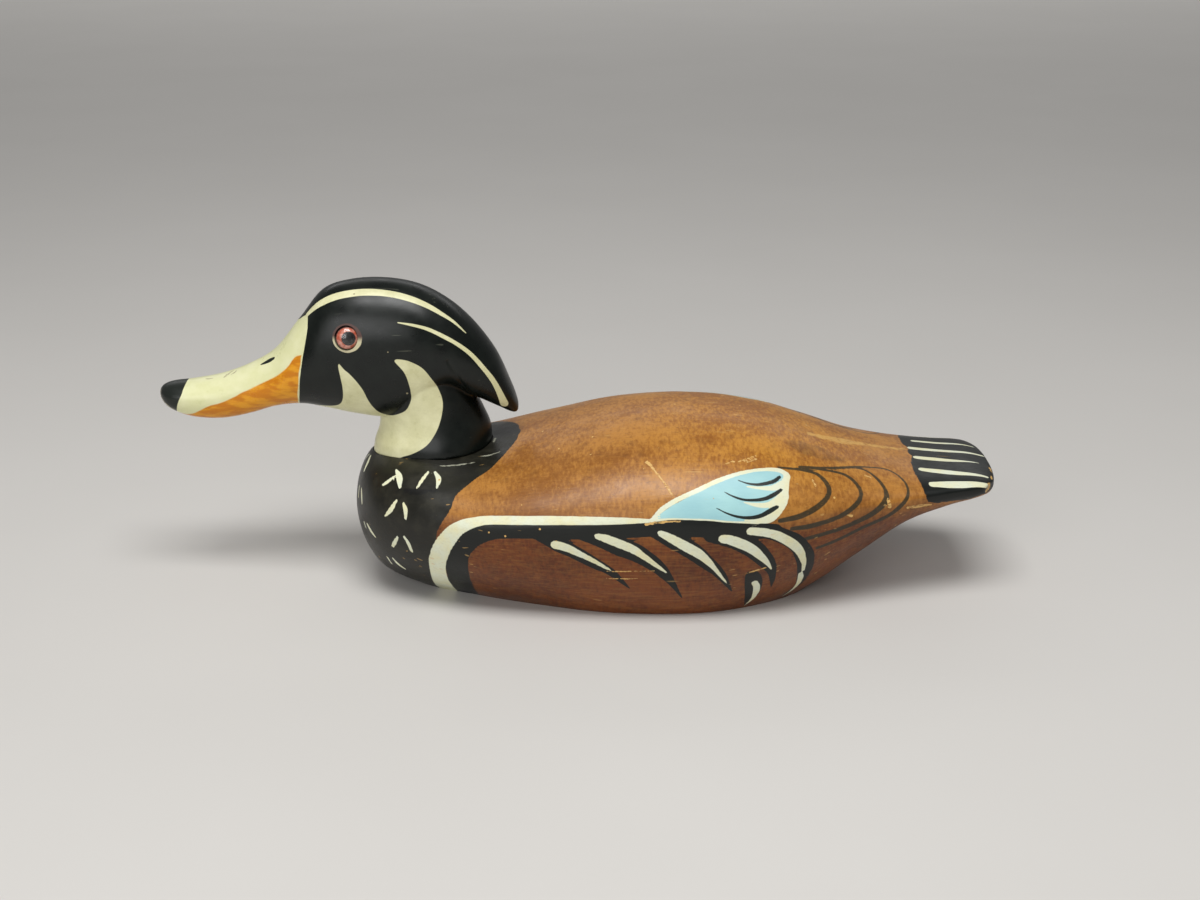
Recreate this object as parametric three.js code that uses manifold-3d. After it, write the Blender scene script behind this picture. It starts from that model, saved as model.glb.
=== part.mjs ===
// A carved and painted wood-duck drake decoy, at its real size in millimetres.
// +Z is up, the bill points to -X and the tail to +X, and the duck's left side faces -Y.
// The origin is on the ground, under the middle of the whole length.

import * as THREE from 'three';
import { mergeVertices } from 'three/addons/utils/BufferGeometryUtils.js';
import Module from 'manifold-3d';

const wasm = await Module();
wasm.setup();

// Driving dimensions
const FIT_GAP = 0.3; // clearance left between pieces that are seated in one another
const SHELF = { x: -61, z: 57.3, rise: 0.075 }; // the neck's seat: its middle, height and slope to the rear
const EYE = { x: -94, y: 17.6, z: 110.2, radius: 5, depth: 3.2, forward: 0.14, upward: 0.16 };
const BODY_MESH = { around: 40, along: 44 };
const SKULL_MESH = { around: 32, along: 42 };
const NECK_MESH = { around: 32, along: 12 };
const EYE_MESH = { around: 16, along: 10 };

// The body's stations, from breast to tail:
// x, half width, top, height of the widest line, bottom, roundness of the upper and the lower half.
// The belly runs below the ground where the flat base is later cut.
const BODY = [
  [-95.5, 0, 33, 33, 33, 2, 2],
  [-94, 12, 45, 33.5, 22.5, 2, 2],
  [-89.5, 24, 54, 34.5, 12, 2.1, 2],
  [-81.5, 34.5, 58, 36, 3, 2.2, 2],
  [-65, 45, 60, 37, -3, 2.2, 2],
  [-42, 53.5, 59.7, 38.5, -7, 2.1, 2],
  [-14, 59, 66.5, 41, -14, 2, 2],
  [18, 61.5, 74, 42, -24, 2, 2],
  [50, 61, 76, 42, -25, 2, 2],
  [76, 57.5, 73, 43, -15, 2, 2],
  [98, 51, 66.5, 44, -4, 2, 2],
  [118, 44, 59.5, 45, 11, 2, 2],
  [138, 38, 54.7, 46.5, 27, 2.1, 2],
  [155, 33, 53, 47.5, 35.5, 2.3, 2.2],
  [167, 30, 52.5, 48, 40, 2.6, 2.5],
  [173, 26, 51.5, 48, 42.5, 2.6, 2.5],
  [176, 16, 50.5, 48, 45, 2.4, 2.4],
  [177, 0, 48, 48, 48, 2, 2],
];

// The head's stations, from the bill's nail to the tip of the crest, in the same columns.
const SKULL = [
  [-177, 0, 81.5, 81.5, 81.5, 2, 2],
  [-175.5, 5, 84.5, 81, 77.5, 2, 2.2],
  [-171, 8.5, 86, 80.5, 74, 2, 2.4],
  [-162, 10, 87, 80, 71, 2, 2.4],
  [-150, 10.2, 89.5, 80.5, 70.5, 2, 2.4],
  [-138, 11, 94, 82.5, 72.8, 2, 2.3],
  [-127, 13, 100.7, 86, 76, 2, 2.2],
  [-116, 15.8, 114, 92.5, 77, 2, 2.1],
  [-106, 18, 126, 99, 75.3, 2.1, 2.2],
  [-94, 19.6, 130.2, 102, 73, 2.1, 2.4],
  [-80, 20, 130.8, 103, 71.5, 2.1, 2.5],
  [-66, 19.3, 128.2, 103, 74, 2.1, 2.5],
  [-54, 17.5, 122, 101, 86, 2, 3],
  [-43, 14.5, 112, 96, 81, 2, 3],
  [-34, 11, 99.5, 88, 76.5, 2, 3],
  [-28, 7.3, 85.5, 79.5, 73.2, 2, 2.6],
  [-25.5, 3.6, 78.5, 75.5, 73, 2, 2.2],
  [-25, 0, 75.5, 75.5, 75.5, 2, 2],
];

// The neck's stations, from inside the body up into the head:
// z, half width, rear, place of the widest line, front, roundness of the rear and the front half.
const NECK = [
  [44, 0, -60, -60, -60, 2, 2],
  [46, 18, -42, -59, -82, 2, 2],
  [52, 20.5, -37, -58.5, -87, 2, 1.9],
  [60, 20.3, -36.6, -58.5, -86.8, 2, 1.9],
  [67, 18.3, -36.8, -59, -84.5, 2, 1.9],
  [74, 17.2, -39.5, -61, -84, 2, 1.9],
  [83, 17, -44, -64, -84, 2.1, 2],
  [95, 17, -51, -68, -86, 2.2, 2],
  [106, 12, -58, -71, -82, 2, 2],
  [109, 0, -70, -70, -70, 2, 2],
];

// A smooth curve through four even values, between the second and the third.
function blend(a, b, c, d, t) {
  return b + 0.5 * t * (c - a + t * (2 * a - 5 * b + 4 * c - d + t * (3 * (b - c) + d - a)));
}

// The station beyond an end of the form: the first one in, seen in a mirror, so that the end is round.
function mirrored([place, wide, top, middle, bottom, upper, lower]) {
  return [place, -wide, bottom, middle, top, upper, lower];
}

// The station at any place along a form, counted in stations from its first end.
function stationAt(stations, place) {
  const last = stations.length - 1;
  const row = Math.min(Math.floor(place), last - 1);
  const before = row > 0 ? stations[row - 1] : mirrored(stations[1]);
  const after = row < last - 1 ? stations[row + 2] : mirrored(stations[last - 1]);
  return stations[row].map((value, column) =>
    blend(before[column], value, stations[row + 1][column], after[column], place - row));
}

// A power of a sine or cosine that keeps its sign, for the rounded sections.
function bowed(value, roundness) {
  return Math.sign(value) * Math.abs(value) ** (2 / roundness);
}

// A closed form whose poles are its two ends and whose rings are its stations, grown all round by a margin.
function carve(stations, { around, along }, margin = 0) {
  const form = new THREE.SphereGeometry(1, around, along);
  form.deleteAttribute('normal');
  form.deleteAttribute('uv');
  const merged = mergeVertices(form);
  const points = merged.attributes.position;
  const point = new THREE.Vector3();
  for (let i = 0; i < points.count; i++) {
    point.fromBufferAttribute(points, i);
    const place = (stations.length - 1) * Math.acos(THREE.MathUtils.clamp(point.y, -1, 1)) / Math.PI;
    const angle = Math.atan2(point.z, point.x);
    const [x, wide, top, middle, bottom, upper, lower] = stationAt(stations, place);
    const above = Math.sin(angle) > 0;
    const roundness = above ? upper : lower;
    const reach = (above ? top - middle : middle - bottom) + margin;
    const side = (wide + margin) * bowed(Math.cos(angle), roundness);
    points.setXYZ(i, x, side, middle + reach * bowed(Math.sin(angle), roundness));
  }
  return merged;
}

function toSolid(geometry) {
  const vertProperties = new Float32Array(geometry.attributes.position.array);
  const triVerts = new Uint32Array(geometry.index.array);
  return new wasm.Manifold(new wasm.Mesh({ numProp: 3, vertProperties, triVerts }));
}

function closedForm(geometry) {
  geometry.deleteAttribute('normal');
  geometry.deleteAttribute('uv');
  return toSolid(mergeVertices(geometry));
}

function toGeometry(solid) {
  const mesh = solid.getMesh();
  const geometry = new THREE.BufferGeometry();
  geometry.setAttribute('position', new THREE.BufferAttribute(mesh.vertProperties, 3));
  geometry.setIndex(new THREE.BufferAttribute(mesh.triVerts, 1));
  return geometry;
}

// Everything above the neck's seat, raised by a gap.
function aboveShelf(gap) {
  const height = 120;
  const block = new THREE.BoxGeometry(300, 200, height);
  block.translate(0, 0, height / 2 + gap);
  block.rotateY(-Math.atan(SHELF.rise));
  block.translate(SHELF.x, 0, SHELF.z);
  return closedForm(block);
}

// The neck is a form carved upright: its length is turned to +Z and its top to the rear.
function neckForm(margin) {
  const upright = new THREE.Matrix4().makeBasis(
    new THREE.Vector3(0, 0, 1), new THREE.Vector3(0, -1, 0), new THREE.Vector3(1, 0, 0));
  return toSolid(carve(NECK, NECK_MESH, margin).applyMatrix4(upright));
}

// A domed glass eye, or the socket that holds it when grown by a gap. Side is -1 on the duck's left.
function eyeForm(side, gap) {
  const dome = new THREE.SphereGeometry(1, EYE_MESH.around, EYE_MESH.along);
  dome.scale(EYE.radius + gap, EYE.depth + gap, EYE.radius + gap);
  dome.rotateX(side * EYE.upward);
  dome.rotateZ(side * -EYE.forward);
  dome.translate(EYE.x, side * EYE.y, EYE.z);
  return closedForm(dome);
}

function bodyBlock() {
  const depth = 60;
  const ground = closedForm(new THREE.BoxGeometry(500, 300, depth).translate(0, 0, -depth / 2));
  const neckSeat = neckForm(FIT_GAP).intersect(aboveShelf(0));
  return toSolid(carve(BODY, BODY_MESH)).subtract(ground).subtract(neckSeat);
}

function headBlock() {
  const neck = neckForm(0).intersect(aboveShelf(FIT_GAP));
  let head = toSolid(carve(SKULL, SKULL_MESH)).add(neck);
  for (const side of [-1, 1]) head = head.subtract(eyeForm(side, FIT_GAP));
  return head;
}

function piece(name, solid, finish) {
  const mesh = new THREE.Mesh(toGeometry(solid), new THREE.MeshStandardMaterial(finish));
  mesh.name = name;
  return mesh;
}

const PAINTED_BODY = { color: 0x8a5426, roughness: 0.42, metalness: 0 };
const PAINTED_HEAD = { color: 0x161d1a, roughness: 0.36, metalness: 0 };
const GLASS_EYE = { color: 0x7a3a2c, roughness: 0.05, metalness: 0 };

const duck = new THREE.Group();
duck.add(piece('body', bodyBlock(), PAINTED_BODY));
duck.add(piece('head', headBlock(), PAINTED_HEAD));
duck.add(piece('eye_left', eyeForm(-1, 0), GLASS_EYE));
duck.add(piece('eye_right', eyeForm(1, 0), GLASS_EYE));

export default duck;
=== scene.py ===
import math

import bmesh
import bpy
import numpy as np
from mathutils import Matrix, Vector, noise
from mathutils.bvhtree import BVHTree


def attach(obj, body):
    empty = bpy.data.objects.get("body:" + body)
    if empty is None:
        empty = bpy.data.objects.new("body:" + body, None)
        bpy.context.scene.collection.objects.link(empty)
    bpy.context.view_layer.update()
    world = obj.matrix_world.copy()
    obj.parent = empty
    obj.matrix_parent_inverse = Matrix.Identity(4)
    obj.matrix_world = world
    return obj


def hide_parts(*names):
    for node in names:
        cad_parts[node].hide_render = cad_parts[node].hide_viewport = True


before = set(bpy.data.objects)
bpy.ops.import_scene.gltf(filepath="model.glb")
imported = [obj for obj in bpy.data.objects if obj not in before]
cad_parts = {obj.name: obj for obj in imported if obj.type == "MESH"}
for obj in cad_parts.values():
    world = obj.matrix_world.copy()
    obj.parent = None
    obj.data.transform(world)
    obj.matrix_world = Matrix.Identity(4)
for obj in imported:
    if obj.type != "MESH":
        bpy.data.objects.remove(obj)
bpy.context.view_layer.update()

# A carved and painted wood-duck drake decoy. Every length below is in millimetres:
# x runs from the bill (-) to the tail (+), y to the duck's right, z up from the ground.
# The finished meshes are brought to metres by this scale.
METRES = 0.001
MERGE = 0.0002

# The carved forms, as stations with these columns: place, half width, top, height of the widest line,
# bottom, roundness of the upper and of the lower half.
BODY = [
    (-95.5, 0, 33, 33, 33, 2, 2),
    (-94, 12, 45, 33.5, 22.5, 2, 2),
    (-89.5, 24, 54, 34.5, 12, 2.1, 2),
    (-81.5, 34.5, 58, 36, 3, 2.2, 2),
    (-65, 45, 60, 37, -3, 2.2, 2),
    (-42, 53.5, 59.7, 38.5, -7, 2.1, 2),
    (-14, 59, 66.5, 41, -14, 2, 2),
    (18, 61.5, 74, 42, -24, 2, 2),
    (50, 61, 76, 42, -25, 2, 2),
    (76, 57.5, 73, 43, -15, 2, 2),
    (98, 51, 66.5, 44, -4, 2, 2),
    (118, 44, 59.5, 45, 11, 2, 2),
    (138, 38, 54.7, 46.5, 27, 2.1, 2),
    (155, 33, 53, 47.5, 35.5, 2.3, 2.2),
    (167, 30, 52.5, 48, 40, 2.6, 2.5),
    (173, 26, 51.5, 48, 42.5, 2.6, 2.5),
    (176, 16, 50.5, 48, 45, 2.4, 2.4),
    (177, 0, 48, 48, 48, 2, 2),
]
SKULL = [
    (-177, 0, 81.5, 81.5, 81.5, 2, 2),
    (-175.5, 5, 84.5, 81, 77.5, 2, 2.2),
    (-171, 8.5, 86, 80.5, 74, 2, 2.4),
    (-162, 10, 87, 80, 71, 2, 2.4),
    (-150, 10.2, 89.5, 80.5, 70.5, 2, 2.4),
    (-138, 11, 94, 82.5, 72.8, 2, 2.3),
    (-127, 13, 100.7, 86, 76, 2, 2.2),
    (-116, 15.8, 114, 92.5, 77, 2, 2.1),
    (-106, 18, 126, 99, 75.3, 2.1, 2.2),
    (-94, 19.6, 130.2, 102, 73, 2.1, 2.4),
    (-80, 20, 130.8, 103, 71.5, 2.1, 2.5),
    (-66, 19.3, 128.2, 103, 74, 2.1, 2.5),
    (-54, 17.5, 122, 101, 86, 2, 3),
    (-43, 14.5, 112, 96, 81, 2, 3),
    (-34, 11, 99.5, 88, 76.5, 2, 3),
    (-28, 7.3, 85.5, 79.5, 73.2, 2, 2.6),
    (-25.5, 3.6, 78.5, 75.5, 73, 2, 2.2),
    (-25, 0, 75.5, 75.5, 75.5, 2, 2),
]
# The neck is carved upright, so its columns are: height, half width, rear, place of the widest line, front.
NECK = [
    (44, 0, -60, -60, -60, 2, 2),
    (46, 18, -42, -59, -82, 2, 2),
    (52, 20.5, -37, -58.5, -87, 2, 1.9),
    (60, 20.3, -36.6, -58.5, -86.8, 2, 1.9),
    (67, 18.3, -36.8, -59, -84.5, 2, 1.9),
    (74, 17.2, -39.5, -61, -84, 2, 1.9),
    (83, 17, -44, -64, -84, 2.1, 2),
    (95, 17, -51, -68, -86, 2.2, 2),
    (106, 12, -58, -71, -82, 2, 2),
    (109, 0, -70, -70, -70, 2, 2),
]
SHELF = Vector((-61, 0, 57.3))
SHELF_UP = Vector((-0.075, 0, 1)).normalized()
FIT_GAP = 0.3
EYE = Vector((-94, 17.6, 110.2))
EYE_RADIUS = 5.0
EYE_DEPTH = 3.2
EYE_FORWARD = 0.14
EYE_UPWARD = 0.16


def blend(a, b, c, d, t):
    """A smooth curve through four even values, between the second and the third."""
    return b + 0.5 * t * (c - a + t * (2 * a - 5 * b + 4 * c - d + t * (3 * (b - c) + d - a)))


def mirrored(station):
    """The station beyond a form's end: the first one in, seen in a mirror, so that the end is round."""
    place, wide, top, middle, bottom, upper, lower = station
    return np.array([place, -wide, bottom, middle, top, upper, lower])


def station_at(stations, place):
    last = len(stations) - 1
    row = min(int(place), last - 1)
    before = stations[row - 1] if row > 0 else mirrored(stations[1])
    after = stations[row + 2] if row < last - 1 else mirrored(stations[last - 1])
    return blend(before, stations[row], stations[row + 1], after, place - row)


def even_stations(rows, rings):
    """Stations spread so that the rings of a form lie about evenly far apart."""
    stations = np.array(rows, float)
    places = np.linspace(0, len(stations) - 1, 1500)
    fine = np.array([station_at(stations, place) for place in places])
    steps = np.abs(np.diff(fine[:, :5], axis=0)).max(axis=1)
    run = np.concatenate([[0], np.cumsum(steps)])
    even = np.interp(np.linspace(0, run[-1], rings + 1), run, places)
    return [station_at(stations, place) for place in even]


def bowed(value, roundness):
    return math.copysign(abs(value) ** (2 / roundness), value)


def carve(rows, around, rings, margin=0.0):
    """A closed form: a sheet rolled round the stations' sections, with its seam and its two ends merged."""
    form = bmesh.new()
    sheet = bmesh.ops.create_grid(form, x_segments=around, y_segments=rings, size=1.0)
    sections = even_stations(rows, rings)
    for vert in sheet["verts"]:
        x, wide, top, middle, bottom, upper, lower = sections[round((vert.co.y + 1) / 2 * rings)]
        angle = math.pi * vert.co.x
        above = angle > 0
        roundness = upper if above else lower
        reach = (top - middle if above else middle - bottom) + margin
        side = (wide + margin) * bowed(math.cos(angle), roundness)
        vert.co = (x, side, middle + reach * bowed(math.sin(angle), roundness))
    bmesh.ops.remove_doubles(form, verts=form.verts, dist=MERGE)
    bmesh.ops.recalc_face_normals(form, faces=form.faces)
    return form


def cut_flat(form, point, direction):
    """Cuts away what lies behind a plane and closes the cut. Gives the new faces."""
    everything = form.verts[:] + form.edges[:] + form.faces[:]
    cut = bmesh.ops.bisect_plane(
        form, geom=everything, dist=MERGE, plane_co=point, plane_no=direction, clear_inner=True)
    rim = [item for item in cut["geom_cut"] if isinstance(item, bmesh.types.BMEdge)]
    return bmesh.ops.contextual_create(form, geom=rim)["faces"]


def carve_neck(around, rings, margin, gap):
    """The neck, turned upright and standing a gap above the shelf that it is glued on."""
    form = carve(NECK, around, rings, margin)
    for vert in form.verts:
        vert.co = (vert.co.z, -vert.co.y, vert.co.x)
    cut_flat(form, SHELF + SHELF_UP * gap, SHELF_UP)
    return form


def new_piece(form, name):
    mesh = bpy.data.meshes.new(name)
    form.to_mesh(mesh)
    form.free()
    piece = bpy.data.objects.new(name, mesh)
    bpy.context.scene.collection.objects.link(piece)
    return piece


def apply_modifier(piece, kind, **settings):
    modifier = piece.modifiers.new(kind.lower(), kind)
    for name, value in settings.items():
        setattr(modifier, name, value)
    graph = bpy.context.evaluated_depsgraph_get()
    mesh = bpy.data.meshes.new_from_object(piece.evaluated_get(graph))
    piece.modifiers.clear()
    plain = piece.data
    piece.data = mesh
    bpy.data.meshes.remove(plain)


def cut_away(piece, cutter):
    apply_modifier(piece, "BOOLEAN", operation="DIFFERENCE", solver="EXACT", object=cutter)
    bpy.data.objects.remove(cutter)


# The slight unevenness that the knife and the sanding left
CARVING_DEPTH = 0.25
CARVING_SIZE = 17


def places_of(mesh):
    places = np.empty(len(mesh.vertices) * 3)
    mesh.vertices.foreach_get("co", places)
    return places.reshape(-1, 3)


def put_places(mesh, places):
    mesh.vertices.foreach_set("co", places.ravel())
    mesh.update()


def press_in(mesh, depths):
    """Lowers the surface's points by the given depths."""
    outward = np.array([normal.vector for normal in mesh.vertex_normals])
    put_places(mesh, places_of(mesh) - outward * depths[:, None])


def hand_carving(places):
    waves = np.array([noise.noise(Vector(place) / CARVING_SIZE) for place in places])
    return CARVING_DEPTH * (0.5 + 0.5 * waves) * np.clip(places[:, 2] / 3, 0, 1)


# The body block
BODY_AROUND = 320
BODY_RINGS = 300
BASE_EDGE = 0.6
# Chips broken from the tail's end: the place, the way the flat left there faces, its depth and its reach
TAIL_CHIPS = [
    ((171.5, -26.5, 48), (0.75, -0.6, -0.1), 0.9, 4.5),
    ((175, -12, 49), (1, -0.3, 0.3), 0.35, 2),
    ((175.5, 6, 49.5), (1, 0.2, 0.4), 0.35, 2),
]


def knock_off(places, corner, facing, depth, reach):
    """Brings the points near a corner back to a flat, as where a chip broke away."""
    facing = np.array(facing) / np.linalg.norm(facing)
    ahead = places @ facing
    near = np.linalg.norm(places - np.array(corner), axis=1) < reach
    over = np.clip(ahead - ahead[near].max() + depth, 0, None) * near
    return places - over[:, None] * facing


def make_body():
    form = carve(BODY, BODY_AROUND, BODY_RINGS)
    base = cut_flat(form, (0, 0, BASE_EDGE), (0, 0, 1))
    bmesh.ops.inset_region(form, faces=base, thickness=BASE_EDGE, depth=BASE_EDGE, use_even_offset=True)
    body = new_piece(form, "duck_body")
    cut_away(body, new_piece(carve_neck(128, 72, FIT_GAP, 0.0), "neck_seat"))
    press_in(body.data, hand_carving(places_of(body.data)))
    for chip in TAIL_CHIPS:
        put_places(body.data, knock_off(places_of(body.data), *chip))
    return body


# The head block
HEAD_VOXEL = 0.56
JAW_FILLET = 3.5
THROAT_REAR = -50
SMOOTH_ALL = 3
SMOOTH_JOINT = 60
CREST_FOLD = [(-53, 100), (-48, 90), (-43, 80.5)]
FOLD_DEPTH = 0.7
FOLD_REACH = 1.6


def distance_from(line, flat):
    """How far points in a plane lie from a line of straight runs."""
    nearest = np.full(len(flat), np.inf)
    rows = np.array(line, float)
    for start, end in zip(rows, rows[1:]):
        run = end - start
        share = np.clip((flat - start) @ run / (run @ run), 0, 1)[:, None]
        nearest = np.minimum(nearest, np.linalg.norm(flat - start - share * run, axis=1))
    return nearest


def crest_fold(places):
    """The crease under the crest, on both sides of the head."""
    gap = distance_from(CREST_FOLD, places[:, [0, 2]])
    return FOLD_DEPTH * np.clip(1 - gap / FOLD_REACH, 0, 1) ** 1.5


def make_head():
    """The skull and the neck as one block, with the throat rounded into the neck and a fold under the crest."""
    form = carve(SKULL, 220, 260)
    skull = BVHTree.FromBMesh(form)
    neck_form = carve_neck(180, 120, 0.0, FIT_GAP)
    neck = BVHTree.FromBMesh(neck_form)
    whole_neck = new_piece(neck_form, "neck")
    form.from_mesh(whole_neck.data)
    bpy.data.objects.remove(whole_neck)
    head = new_piece(form, "duck_head")
    apply_modifier(head, "REMESH", mode="VOXEL", voxel_size=HEAD_VOXEL)
    form = bmesh.new()
    form.from_mesh(head.data)
    for _ in range(SMOOTH_ALL):
        bmesh.ops.smooth_vert(form, verts=form.verts, factor=0.5)
    lower = [vert for vert in form.verts if vert.co.x < THROAT_REAR and 64 < vert.co.z < 96]
    joint = [vert for vert in lower if skull.find_nearest(vert.co)[3] < JAW_FILLET
             and neck.find_nearest(vert.co)[3] < JAW_FILLET]
    for _ in range(SMOOTH_JOINT):
        bmesh.ops.smooth_vert(form, verts=joint, factor=0.5)
    form.to_mesh(head.data)
    form.free()
    places = places_of(head.data)
    press_in(head.data, np.maximum(hand_carving(places), crest_fold(places)))
    for side in (-1, 1):
        cut_away(head, new_piece(eye_form(side, FIT_GAP), "eye_socket"))
    return head


def eye_place(side):
    """Turns and moves a form made round the origin, facing along its own -y or +y, to an eye."""
    turn = Matrix.Rotation(-side * EYE_FORWARD, 4, "Z") @ Matrix.Rotation(side * EYE_UPWARD, 4, "X")
    return Matrix.Translation((EYE.x, side * EYE.y, EYE.z)) @ turn


def eye_form(side, gap):
    form = bmesh.new()
    bmesh.ops.create_uvsphere(form, u_segments=48, v_segments=24, radius=1.0)
    bmesh.ops.scale(form, vec=(EYE_RADIUS + gap, EYE_DEPTH + gap, EYE_RADIUS + gap), verts=form.verts)
    bmesh.ops.transform(form, matrix=eye_place(side), verts=form.verts)
    return form


# The painted lines: how finely they are followed, and how far from an edge their distance is kept
LINE_STEP = 0.8
OUTSIDE = 1.6
INSIDE = 0.5
FAR = 400


def smooth_line(points, closed=False):
    """A smooth line through a few points, as rows close together."""
    rows = np.array(points, float)
    if closed:
        rows = np.concatenate([rows[-1:], rows, rows[:2]])
    else:
        rows = np.concatenate([2 * rows[:1] - rows[1:2], rows, 2 * rows[-1:] - rows[-2:-1]])
    line = []
    for a, b, c, d in zip(rows, rows[1:], rows[2:], rows[3:]):
        steps = max(1, math.ceil(np.linalg.norm((c - b)[:2]) / LINE_STEP))
        line += [blend(a, b, c, d, step / steps) for step in range(steps)]
    return np.array(line + [rows[-2]])


def lies_inside(points, outline):
    """Which points, in a plane, lie inside a closed outline."""
    inside = np.zeros(len(points), bool)
    for (x1, z1), (x2, z2) in zip(outline, np.roll(outline, -1, axis=0)):
        if z1 == z2:
            continue
        spans = (points[:, 1] > z1) != (points[:, 1] > z2)
        crossing = x1 + (points[:, 1] - z1) * (x2 - x1) / (z2 - z1)
        inside ^= spans & (points[:, 0] < crossing)
    return inside


class Surface:
    """A carved piece's surface, on which its paint is laid out. Each coat keeps, for every point of the mesh,
    how far inside the two edges of its nearest stroke the point lies."""

    def __init__(self, piece):
        self.mesh = piece.data
        self.points = places_of(self.mesh)
        self.folded = self.points.copy()
        self.folded[:, 1] = -np.abs(self.points[:, 1])
        form = bmesh.new()
        form.from_mesh(self.mesh)
        self.tree = BVHTree.FromBMesh(form)
        form.free()
        self.coats = {}

    def drop(self, line):
        """Sets a line on the surface: rows of (x, z) as seen from the left, rows of (x, y, z) where they are
        nearest. Gives the places, the outward directions, and which rows met the surface."""
        places = []
        outward = []
        met = []
        for row, point in enumerate(line):
            if len(point) == 2:
                hit = self.tree.ray_cast(Vector((point[0], -FAR, point[1])), Vector((0, 1, 0)))
            else:
                hit = self.tree.find_nearest(Vector(point))
            if hit[0] is not None:
                places.append(hit[0])
                outward.append(hit[1])
                met.append(row)
        return np.array(places), np.array(outward), met

    def measure(self, points, places, outward):
        """For each point: its distance from a dropped line, to which side, how far along, and if past an end."""
        run = np.gradient(places, axis=0)
        across = np.cross(outward, run)
        across /= np.linalg.norm(across, axis=1, keepdims=True) + 1e-9
        nearest = ((places ** 2).sum(1) - 2 * points @ places.T).argmin(1)
        last = len(places) - 2
        distance = np.full(len(points), np.inf)
        aside = np.zeros(len(points))
        along = np.zeros(len(points))
        for start in (np.clip(nearest - 1, 0, last), np.clip(nearest, 0, last)):
            step = places[start + 1] - places[start]
            share = ((points - places[start]) * step).sum(1) / ((step ** 2).sum(1) + 1e-12)
            share = np.clip(share, 0, 1)[:, None]
            offset = points - places[start] - share * step
            gap = np.linalg.norm(offset, axis=1)
            closer = gap < distance
            side = (offset * (across[start] * (1 - share) + across[start + 1] * share)).sum(1)
            distance = np.where(closer, gap, distance)
            aside = np.where(closer, np.sign(side), aside)
            along = np.where(closer, start + share[:, 0], along)
        return distance, aside, along, (along <= 0) | (along >= last + 1)

    def lay(self, coat, chosen, first, second):
        edges = self.coats.setdefault(coat, np.full((2, len(self.points)), -OUTSIDE))
        fresh = np.clip(np.stack([first, second]), -OUTSIDE, INSIDE)
        better = fresh.min(axis=0) > edges[:, chosen].min(axis=0)
        edges[:, chosen[better]] = fresh[:, better]

    def view(self, side):
        """The points that a stroke is measured against, and those that it may reach: on both sides alike,
        on the right as in a mirror, or on the left, where it is drawn."""
        y = self.points[:, 1]
        if side == "both":
            return self.folded, np.ones(len(y), bool)
        if side == "right":
            return self.folded, y > 0
        return self.points, np.ones(len(y), bool)

    def stroke(self, coat, rows, side="both"):
        """A brush stroke through rows of a point and the stroke's half width there."""
        line = smooth_line(rows)
        places, outward, met = self.drop(line[:, :-1])
        half = line[met, -1]
        points, allowed = self.view(side)
        reach = half.max() + OUTSIDE
        boxed = ((points > places.min(0) - reach) & (points < places.max(0) + reach)).all(axis=1)
        chosen = np.flatnonzero(boxed & allowed)
        distance, aside, along, past = self.measure(points[chosen], places, outward)
        half = np.interp(along, np.arange(len(half)), half)
        lateral = distance * aside
        first = np.where(past, half - distance, half - lateral)
        second = np.where(past, half - distance, half + lateral)
        self.lay(coat, chosen, first, second)

    def fill(self, coat, outline, side="both"):
        """Paint inside a closed outline, as seen from the left."""
        line = smooth_line(outline, closed=True)
        places, outward, _ = self.drop(line)
        points, allowed = self.view(side)
        flat = points[:, [0, 2]]
        boxed = ((flat > line.min(0) - OUTSIDE) & (flat < line.max(0) + OUTSIDE)).all(axis=1)
        chosen = np.flatnonzero(boxed & allowed & (points[:, 1] < 0.01))
        distance, *_ = self.measure(points[chosen], places, outward)
        signed = np.where(lies_inside(flat[chosen], line), distance, -distance)
        self.lay(coat, chosen, signed, np.full(len(chosen), INSIDE))

    def past(self, rows):
        """How far each point lies past a line that runs round the piece, towards the tail or upwards."""
        places, outward, _ = self.drop(smooth_line(rows))
        distance, aside, *_ = self.measure(self.folded, places, outward)
        return distance * aside

    def fill_where(self, coat, signed):
        everywhere = np.arange(len(self.points))
        self.lay(coat, everywhere, signed, np.full(len(everywhere), INSIDE))

    def keep(self):
        """Stores every coat on the mesh, for its material to read."""
        for coat, edges in self.coats.items():
            layer = self.mesh.attributes.new(coat, "FLOAT_VECTOR", "POINT")
            rows = np.concatenate([edges, np.zeros((1, edges.shape[1]))]).T
            layer.data.foreach_set("vector", rows.astype(np.float32).ravel())

# The paint on the body: strokes are rows of x, z and half width as seen from the left,
# or of x, y, z and half width where the surface faces up or forward.
COLLAR_EDGE = [
    (-24.3, 0, 63.8), (-25, -4, 63.6), (-26.6, -12.6, 62.6), (-34.5, -28.3, 58.3), (-42, -35.5, 55),
    (-49, -42.5, 50.8), (-51, -47, 46.5), (-54, -48.8, 42.4), (-57, -48.5, 36), (-58, -46, 25),
    (-57, -38, 12), (-54, -29, 1),
]
WHITE_BAND = [
    (-55.5, 0.5, 4.4), (-56.5, 7, 4.2), (-57.5, 14, 3.7), (-57.5, 22, 3.8), (-55, 30, 3.8), (-51, 36.5, 3.4),
    (-46.5, 40.6, 2.7), (-40, 43.3, 2), (-32, 44.6, 1.8), (-7, 46.2, 1.8), (17, 46.8, 1.4), (30, 46.9, 0.7),
]
BLACK_BAND = [
    (-47, 0.5, 5.6), (-48, 7, 5.4), (-49, 15, 5.2), (-49.3, 22, 5), (-47.5, 30, 4.6), (-43, 35.5, 4.2),
    (-37, 38.8, 3.6), (-30, 40.5, 3.3), (-18, 41.2, 3.2), (0, 41.7, 3.1), (20, 42.6, 3.1), (35, 43.7, 3.4),
    (50, 43.5, 3.9), (62, 42.3, 3.9), (72, 41.3, 3.6), (80, 40.5, 3.2),
]
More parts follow.
